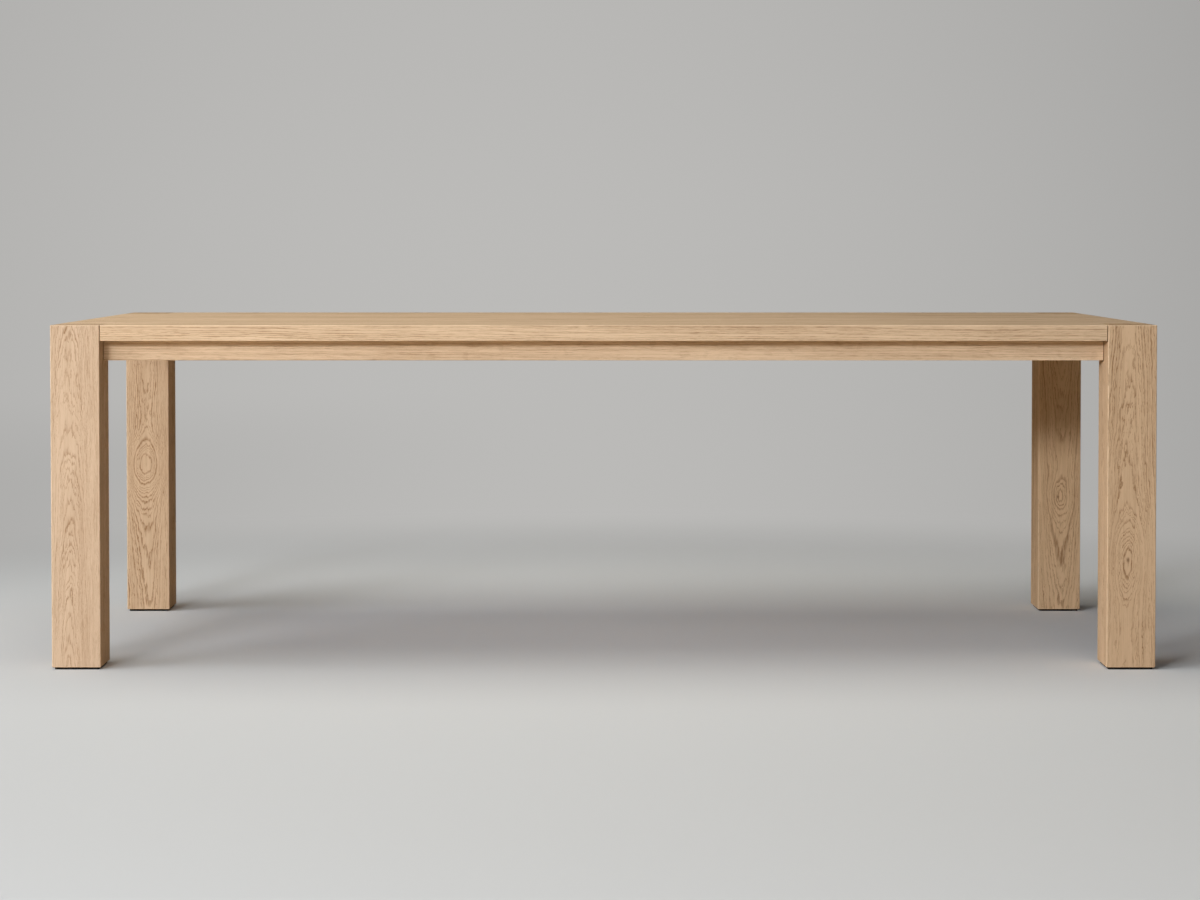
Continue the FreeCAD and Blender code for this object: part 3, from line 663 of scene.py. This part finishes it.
def turned(name, sides, rings):
    """A piece built up along the upright axis, ring by ring, from heights and radii."""
    bpy.ops.object.select_all(action="DESELECT")
    height, radius = rings[0]
    bpy.ops.mesh.primitive_circle_add(vertices=sides, radius=radius, fill_type="NGON",
                                      location=(0, 0, height))
    bpy.ops.object.transform_apply(location=True, rotation=True, scale=True)
    piece = bpy.context.object
    piece.name = name
    bpy.ops.object.mode_set(mode="EDIT")
    bpy.ops.mesh.select_mode(type="FACE")
    bpy.ops.mesh.select_all(action="SELECT")
    for next_height, next_radius in rings[1:]:
        bpy.ops.mesh.extrude_region_move(TRANSFORM_OT_translate={"value": (0, 0, next_height - height)})
        share = next_radius / radius
        bpy.ops.transform.resize(value=(share, share, 1), center_override=(0, 0, next_height))
        height, radius = next_height, next_radius
    bpy.ops.mesh.select_all(action="SELECT")
    # Extruding leaves the faces in no fixed order, so they are sorted from a spot well off the axis
    scene.cursor.location = SORTING_SPOT
    bpy.ops.mesh.sort_elements(type="CURSOR_DISTANCE", elements={"VERT", "EDGE", "FACE"})
    bpy.ops.mesh.normals_make_consistent(inside=False)
    bpy.ops.object.mode_set(mode="OBJECT")
    return piece


def gather(name, parts):
    """Joins copies of one small piece into one piece."""
    bpy.ops.object.select_all(action="DESELECT")
    for part in parts:
        part.select_set(True)
    bpy.context.view_layer.objects.active = parts[0]
    bpy.ops.object.join()
    parts[0].name = name
    return parts[0]


inward = Vector((0, 0, 1)).rotation_difference(Vector((-1, -1, 0))).to_matrix().to_4x4()
apron_middle = (APRON_UNDERSIDE + TOP_UNDERSIDE) / 2
flat_middle = Matrix.Translation((LEG_FLAT_REACH / 2, LEG_FLAT_REACH / 2, apron_middle))
threads = []
for number in range(THREAD_TURNS):
    start = THREAD_START + BOLT_PITCH * number
    threads += [(start, BOLT_ROOT), (start + BOLT_PITCH / 2, BOLT_RADIUS)]
bolt = turned("bolt", 32, [
    (BOLT_POINT, BOLT_POINT_RADIUS), (BOLT_TAPER_END, BOLT_RADIUS), (0.0, BOLT_RADIUS), *threads,
    (BOLT_TIP - BOLT_TIP_CHAMFER, BOLT_RADIUS), (BOLT_TIP, BOLT_RADIUS - BOLT_TIP_CHAMFER)])
shade(bolt, 60.0)
washer = turned("washer", 48, [
    (0, WASHER_RADIUS - WASHER_LOW_EDGE), (WASHER_LOW_EDGE, WASHER_RADIUS),
    (WASHER_THICKNESS - WASHER_HIGH_EDGE, WASHER_RADIUS),
    (WASHER_THICKNESS, WASHER_RADIUS - WASHER_HIGH_EDGE)])
carve(washer, turned("bore", 32, [(-BORE_PAST, WASHER_BORE), (WASHER_THICKNESS + BORE_PAST, WASHER_BORE)]))
shade(washer)
nut_radius = NUT_ACROSS_FLATS / math.sqrt(3)
nut = turned("nut", 6, [(0, nut_radius), (NUT_HEIGHT, nut_radius)])
carve(nut, turned("rim", 64, [
    (0, NUT_FACE_RADIUS), (NUT_CHAMFER, nut_radius), (NUT_HEIGHT - NUT_CHAMFER, nut_radius),
    (NUT_HEIGHT, NUT_FACE_RADIUS)]), "INTERSECT")
carve(nut, turned("bore", 32, [
    (-BORE_PAST, NUT_MOUTH), (NUT_MOUTH_DEPTH, NUT_BORE), (NUT_HEIGHT - NUT_MOUTH_DEPTH, NUT_BORE),
    (NUT_HEIGHT + BORE_PAST, NUT_MOUTH)]))
shade(nut, 20.0)
for kind, piece, seat in (("hanger_bolts", bolt, 0.0), ("washers", washer, WASHER_SEAT),
                          ("nuts", nut, WASHER_SEAT + WASHER_THICKNESS)):
    spot = flat_middle @ inward @ Matrix.Translation((0, 0, seat))
    copies = [place_copy(piece, "part_" + corner, to_corner(corner) @ spot) for corner in CORNER_TURNS]
    settle(gather("steel_" + kind, copies), zinc_steel, "zinc_steel", kind)
    bpy.data.objects.remove(piece)


# Bracket screws: pan-head wood screws with a cross recess, two through each wing of a bracket.
# They hold the bracket in its kerfs while the leg is off.

BRACKET_SCREW_SEAT = 0.0325
BRACKET_SCREW_PLACE = -0.03686
BRACKET_SCREW_SPACE = 0.010
SCREW_POINT_RADIUS = 0.0004
SCREW_TAPER = 0.005
SHANK_SHARE = 0.96
PAN_HEAD = ((0.0, 0.96), (0.12, 1.0), (0.40, 1.0), (0.70, 0.93), (0.90, 0.74), (1.0, 0.48))
RECESS_REACH = 0.62
RECESS_WIDTH = 0.13
RECESS_DEPTH = 0.45


def pan_screw(name, radius, length, head_radius, head_height):
    """A pan-head screw with its seat at the origin and its head upwards."""
    shank = radius * SHANK_SHARE
    head = [(head_height * up, head_radius * out) for up, out in PAN_HEAD]
    screw = turned(name, 24, [(-length, SCREW_POINT_RADIUS), (-length + SCREW_TAPER, shank), (0.0, shank),
                              *head])
    reach, wide = head_radius * RECESS_REACH, head_radius * RECESS_WIDTH
    bottom = head_height - head_height * RECESS_DEPTH
    for x, y in ((reach, wide), (wide, reach)):
        carve(screw, block("recess", (-x, -y, bottom), (x, y, head_height + BORE_PAST)))
    shade(screw)
    return screw


bracket_screw = pan_screw("bracket_screw", radius=0.00225, length=0.018, head_radius=0.0045,
                          head_height=0.003)
bracket_screws = []
for corner in CORNER_TURNS:
    for lift in (-BRACKET_SCREW_SPACE, BRACKET_SCREW_SPACE):
        level = apron_middle + lift
        for x, y, turning in ((BRACKET_SCREW_PLACE, BRACKET_SCREW_SEAT, turn_about("X", 90)),
                              (BRACKET_SCREW_SEAT, BRACKET_SCREW_PLACE, turn_about("Y", -90))):
            wing = Matrix.Translation((x, y, level)) @ turning
            bracket_screws.append(place_copy(bracket_screw, "part_screw", to_corner(corner) @ wing))
settle(gather("steel_bracket_screws", bracket_screws), zinc_steel, "zinc_steel", "bracket_screws")
bpy.data.objects.remove(bracket_screw)


# Cross rails: three oak rails between the long aprons, tenoned into them, which carry the middle of
# the top. Their tenons and counterbored screw holes are as packed, and they only have a finish.

for number in (1, 2, 3):
    node = f"cross_rail_{number}"
    figure = {"Seed": 20.0 + number, "Pith Depth": 0.12, "Pith Shift": 0.01, "Tilt": 0.006 * number}
    sawn = ((0, 1, 0), (0, 0, 1))
    dress(node, oak_material(f"rail_oak_{number}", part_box(node), sawn, figure, APRON_PALE_AND_PAINTED_LIGHT))


# Top boards: six oak boards, edge-glued into one slab with their flat faces up and down by turns.
# The outer two are notched round the legs, with a fine gap. All outer arrises are rounded over.

TOP_ARRIS = 0.0014
NOTCH_GAP = 0.0015
NOTCH_CUTTER_LOW = 0.70
NOTCH_CUTTER_FAR = (1.3, 0.6, 0.80)
TOP_PALE = (0.670, 0.505, 0.352)
FLAT_SAWN = {"Pith Depth": 0.11, "Ring Width": 0.0032, "Figure": 0.55, "Waviness": 0.009}
BOARD_TILTS = (0.010, -0.012, 0.016, -0.013, 0.011, -0.015)
BOARD_TONES = (1.0, 0.955, 1.03, 0.965, 1.02, 0.975)

slab_low, slab_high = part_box("top_board_1")[0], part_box("top_board_6")[1]
notch_x = leg_low.x - NOTCH_GAP
notch_y = leg_low.y - NOTCH_GAP


def cut_notches(board, side):
    """Cuts both ends of an outer board away, where the legs stand."""
    far_x, far_y, high = NOTCH_CUTTER_FAR
    for end in (-1, 1):
        first = Vector((end * notch_x, side * notch_y, NOTCH_CUTTER_LOW))
        second = Vector((end * far_x, side * far_y, high))
        carve(board, block("notch", Vector(map(min, first, second)), Vector(map(max, first, second))))


for number, (tilt, tone) in enumerate(zip(BOARD_TILTS, BOARD_TONES), 1):
    node = f"top_board_{number}"
    low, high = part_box(node)
    board = block(f"oak_board_{number}", low, high)
    if number in (1, 6):
        cut_notches(board, -1 if number == 1 else 1)

    def outer_edge(first, second):
        """Takes an edge that is neither along a glue joint nor down the inner corner of a notch."""
        for joint in (low.y, high.y):
            inside = slab_low.y + 0.001 < joint < slab_high.y - 0.001
            if inside and max(abs(first.y - joint), abs(second.y - joint)) < 1e-5:
                return False
        return max(abs(abs(end.x) - notch_x) + abs(abs(end.y) - notch_y) for end in (first, second)) > 1e-4

    round_arrises(board, TOP_ARRIS, outer_edge)
    shade(board)
    figure = {**FLAT_SAWN, "Seed": 30.0 + 1.7 * number, "Pith Shift": 0.012 * (-1) ** number, "Tilt": tilt}
    sawn = ((1, 0, 0), (0, 0, 1 if number % 2 else -1))
    pale = [tone * share for share in TOP_PALE]
    finish = oak_material(f"top_oak_{number}", (low, high), sawn, figure, pale, (slab_low, slab_high))
    settle(board, finish, "top_oak", node)


# Splines: loose beech tongues, glued into grooves along the joints between the boards.
# They keep the boards level with each other. They are out of sight, as packed, with a finish only.

dress_in_beech("top_splines", "spline_beech")


# Top clips: folded steel, with a tongue in a slot of the apron and a wing screwed to the top.
# The tongue slides in its slot, so the top can swell and shrink across its width.

CLIP_WIDTH = 0.020
CLIP_SHEET = 0.002
CLIP_BEND = 0.0026
CLIP_PATH = ((0.008, 0.716), (-0.005, 0.716), (-0.005, 0.727), (-0.027, 0.727))

long_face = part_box("apron_back")[0].y
end_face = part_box("apron_right")[0].x
clip_places = []
for place in CLIPS_LONG:
    clip_places += [(place, long_face, 0), (place, -long_face, 180)]
for place in CLIPS_END:
    clip_places += [(end_face, place, -90), (-end_face, place, 90)]
clip_spots = [Matrix.Translation((x, y, 0)) @ turn_about("Z", turn) for x, y, turn in clip_places]
clip = bent_strip("clip", [(-CLIP_WIDTH / 2, y, z) for y, z in CLIP_PATH], Vector((CLIP_WIDTH, 0, 0)),
                  CLIP_SHEET, CLIP_BEND)
settle(gather("steel_clips", [place_copy(clip, "part_clip", spot) for spot in clip_spots]),
       zinc_steel, "zinc_steel", "top_clips")
bpy.data.objects.remove(clip)


# Clip screws and rail screws: pan-head screws driven up into the slab, through the clips and the rails.
# The rail screws sit deep in counterbores, in slotted holes that let the slab move.

CLIP_SCREW_PLACE = -0.017
CLIP_SCREW_SEAT = 0.725
RAIL_SCREW_SEAT = 0.705
RAIL_SCREWS = (-0.2642, -0.0940, 0.0787, 0.2489)

head_down = turn_about("X", 180)
clip_screw = pan_screw("clip_screw", radius=0.00225, length=0.020, head_radius=0.0045, head_height=0.003)
clip_screw_seat = Matrix.Translation((0, CLIP_SCREW_PLACE, CLIP_SCREW_SEAT)) @ head_down
copies = [place_copy(clip_screw, "part_screw", spot @ clip_screw_seat) for spot in clip_spots]
settle(gather("steel_clip_screws", copies), zinc_steel, "zinc_steel", "clip_screws")
bpy.data.objects.remove(clip_screw)
rail_screw = pan_screw("rail_screw", radius=0.0025, length=0.042, head_radius=0.005, head_height=0.0035)
copies = []
for number in (1, 2, 3):
    low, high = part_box(f"cross_rail_{number}")
    for place in RAIL_SCREWS:
        seat = Matrix.Translation(((low.x + high.x) / 2, place, RAIL_SCREW_SEAT)) @ head_down
        copies.append(place_copy(rail_screw, "part_screw", seat))
settle(gather("steel_rail_screws", copies), zinc_steel, "zinc_steel", "rail_screws")
bpy.data.objects.remove(rail_screw)


# Studio: a pale grey floor that fades into an even grey backdrop, with a soft light from the front left.
# The backdrop is a little darker to the right, and the far floor takes its colour.
# Seen from below the floor is clear, so that the underside of the table can be looked at.

BACKDROP = (0.497, 0.491, 0.479)
BACKDROP_REACH = 0.23
BACKDROP_FALL = (-0.1358, -0.0654)
FLOOR_SIZE = 120.0
FLOOR_MIDDLE = (0.0, -1.2, 0.0)
VIEWING_SPOT = (0.0, -6.2, 0.0)
PAPER_NEAR = (0.752, 0.760, 0.775, 1.0)
PAPER_UNDER = (0.727, 0.758, 0.797, 1.0)
PAPER_BOUNCE = (0.70, 0.555, 0.385, 1.0)
FILL_LIGHT = (1.0, 0.96, 0.89, 1.0)
FILL_STRENGTH = 0.048
TABLE_MIDDLE = (0.0, 0.0, 0.45)
KEY_TINT = (0.955, 0.985, 1.0)


def backdrop_colour(tree, sideways, share):
    """The backdrop's colour by how far a line of sight goes sideways, times a share."""
    sideways = put(tree, "ShaderNodeClamp", {
        "Value": reckon(tree, "DIVIDE", sideways, BACKDROP_REACH), "Min": -1.0, "Max": 1.0}).outputs[0]
    fall = reckon(tree, "MULTIPLY_ADD", sideways, *BACKDROP_FALL)
    fall = reckon(tree, "MULTIPLY", reckon(tree, "MULTIPLY_ADD", fall, sideways, 1.0), share)
    evenly = put(tree, "ShaderNodeCombineXYZ", {0: fall, 1: fall, 2: fall}).outputs[0]
    return arrange(tree, "MULTIPLY", evenly, BACKDROP)


def seen_straight(tree, rays):
    """One for the camera's rays and those that metal or glass sends on, nought for the light's bounces."""
    mirrored = reckon(tree, "MAXIMUM", rays["Is Glossy Ray"], rays["Is Transmission Ray"])
    return reckon(tree, "MAXIMUM", rays["Is Camera Ray"], mirrored)


bpy.ops.object.select_all(action="DESELECT")
bpy.ops.mesh.primitive_plane_add(size=FLOOR_SIZE, location=(0, 0, 0))
floor = bpy.context.object
floor.name = "studio_floor"
paper, tree, shader = new_material("studio_paper")
where = put(tree, "ShaderNodeTexCoord").outputs["Object"]
rays = put(tree, "ShaderNodeLightPath").outputs
seen = seen_straight(tree, rays)
x, y = put(tree, "ShaderNodeSeparateXYZ", {0: where}).outputs[:2]

# The paper's colour paints light and shade to even out the light: painted shade near the viewer and to the
# left, painted light to the right, and a cooler tint under the table against the warm shade there
evening = reckon(tree, "ADD", ease_between(tree, y, -2.4, 0.6, -0.13, 0.0), 0.985)
right_end = ease_between(tree, y, 0.0, 2.5, 0.165, 0.26)
evening = reckon(tree, "ADD", evening, ease_between(tree, x, -2.5, 2.5, -0.165, right_end))
tone = blend_colours(tree, ease_between(tree, y, -2.4, 0.0), PAPER_NEAR, PAPER_UNDER)
feed(tree, shader, {
    "Base Color": blend_colours(tree, seen, PAPER_BOUNCE, scale_vector(tree, tone, evening)),
    "Roughness": 0.9, "Specular IOR Level": 0.1})

# Far off it glows in the backdrop's colour, so that no horizon shows
from_middle = arrange(tree, "SUBTRACT", where, FLOOR_MIDDLE)
distance = put(tree, "ShaderNodeVectorMath", {0: from_middle}, operation="LENGTH").outputs["Value"]
far = ease_between(tree, distance, 2.2, 4.0)
sight = arrange(tree, "NORMALIZE", arrange(tree, "SUBTRACT", where, VIEWING_SPOT))
sideways = put(tree, "ShaderNodeSeparateXYZ", {0: sight}).outputs[0]
# The glow is painted a little darker to the left, as painted shade that fades out with distance.
dusk = ease_between(tree, x, -2.4, 0.2, ease_between(tree, distance, 5.0, 12.0, 0.92, 1.0), 1.0)
glow = put(tree, "ShaderNodeEmission", {"Color": backdrop_colour(tree, sideways, dusk), "Strength": 1.0})
surface = put(tree, "ShaderNodeMixShader", {
    0: reckon(tree, "MULTIPLY", far, seen), 1: shader.outputs[0], 2: glow.outputs[0]})
backfacing = put(tree, "ShaderNodeNewGeometry").outputs["Backfacing"]
clear = put(tree, "ShaderNodeMixShader", {
    0: reckon(tree, "MULTIPLY", backfacing, rays["Is Camera Ray"]), 1: surface.outputs[0],
    2: put(tree, "ShaderNodeBsdfTransparent").outputs[0]})
tree.links.new(clear.outputs[0], tree.nodes["Material Output"].inputs["Surface"])
floor.data.materials.append(paper)

world = bpy.data.worlds.new("studio_air")
scene.world = world
world.use_nodes = True
tree = world.node_tree
tree.nodes.clear()
sight = put(tree, "ShaderNodeTexCoord").outputs["Generated"]
sight = put(tree, "ShaderNodeSeparateXYZ", {0: sight}).outputs
colour = backdrop_colour(tree, sight["X"], ease_between(tree, sight["Z"], 0.0, 0.10, 1.0, 0.965))
backdrop = put(tree, "ShaderNodeBackground", {"Color": colour, "Strength": 1.0})
fill = put(tree, "ShaderNodeBackground", {"Color": FILL_LIGHT, "Strength": FILL_STRENGTH})
air = put(tree, "ShaderNodeMixShader", {
    0: seen_straight(tree, put(tree, "ShaderNodeLightPath").outputs), 1: fill.outputs[0],
    2: backdrop.outputs[0]})
put(tree, "ShaderNodeOutputWorld", {"Surface": air.outputs[0]})


def softbox(name, place, aim, width, height, power, tint):
    """A rectangular studio light that faces a point."""
    light = bpy.data.lights.new(name, "AREA")
    light.color = tint
    light.shape = "RECTANGLE"
    light.size = width
    light.size_y = height
    light.energy = power
    lamp = bpy.data.objects.new(name, light)
    scene.collection.objects.link(lamp)
    lamp.location = place
    lamp.rotation_euler = (Vector(aim) - Vector(place)).to_track_quat("-Z", "Y").to_euler()


softbox("key_softbox", (-3.0, -6.2, 2.35), TABLE_MIDDLE, 1.6, 0.6, 174.0, KEY_TINT)
softbox("wide_softbox", (-3.6, -6.2, 2.35), TABLE_MIDDLE, 4.6, 0.95, 99.0, KEY_TINT)
softbox("side_softbox", (-8.0, -3.2, 3.2), TABLE_MIDDLE, 6.5, 3.0, 485.0, (0.87, 0.90, 0.935))
softbox("front_softbox", (0.6, -6.5, 2.45), (0.2, 0.0, 0.45), 3.0, 1.0, 42.0, (1.0, 0.96, 0.90))
softbox("overhead_softbox", (-1.15, -0.3, 3.5), (-1.15, -0.29, 0.0), 4.0, 3.0, 76.0, (1.0, 0.925, 0.78))

camera_data = bpy.data.cameras.new("photo_camera")
camera_data.lens = 77.78
camera_data.sensor_width = 36.0
camera_data.shift_x = -0.0030
camera_data.shift_y = -0.1135
camera_data.clip_end = 300.0
camera = bpy.data.objects.new("photo_camera", camera_data)
scene.collection.objects.link(camera)
camera.location = (0.0, -6.212, 0.9462)
camera.rotation_euler = (math.radians(88.4), 0.0, 0.0)
scene.camera = camera
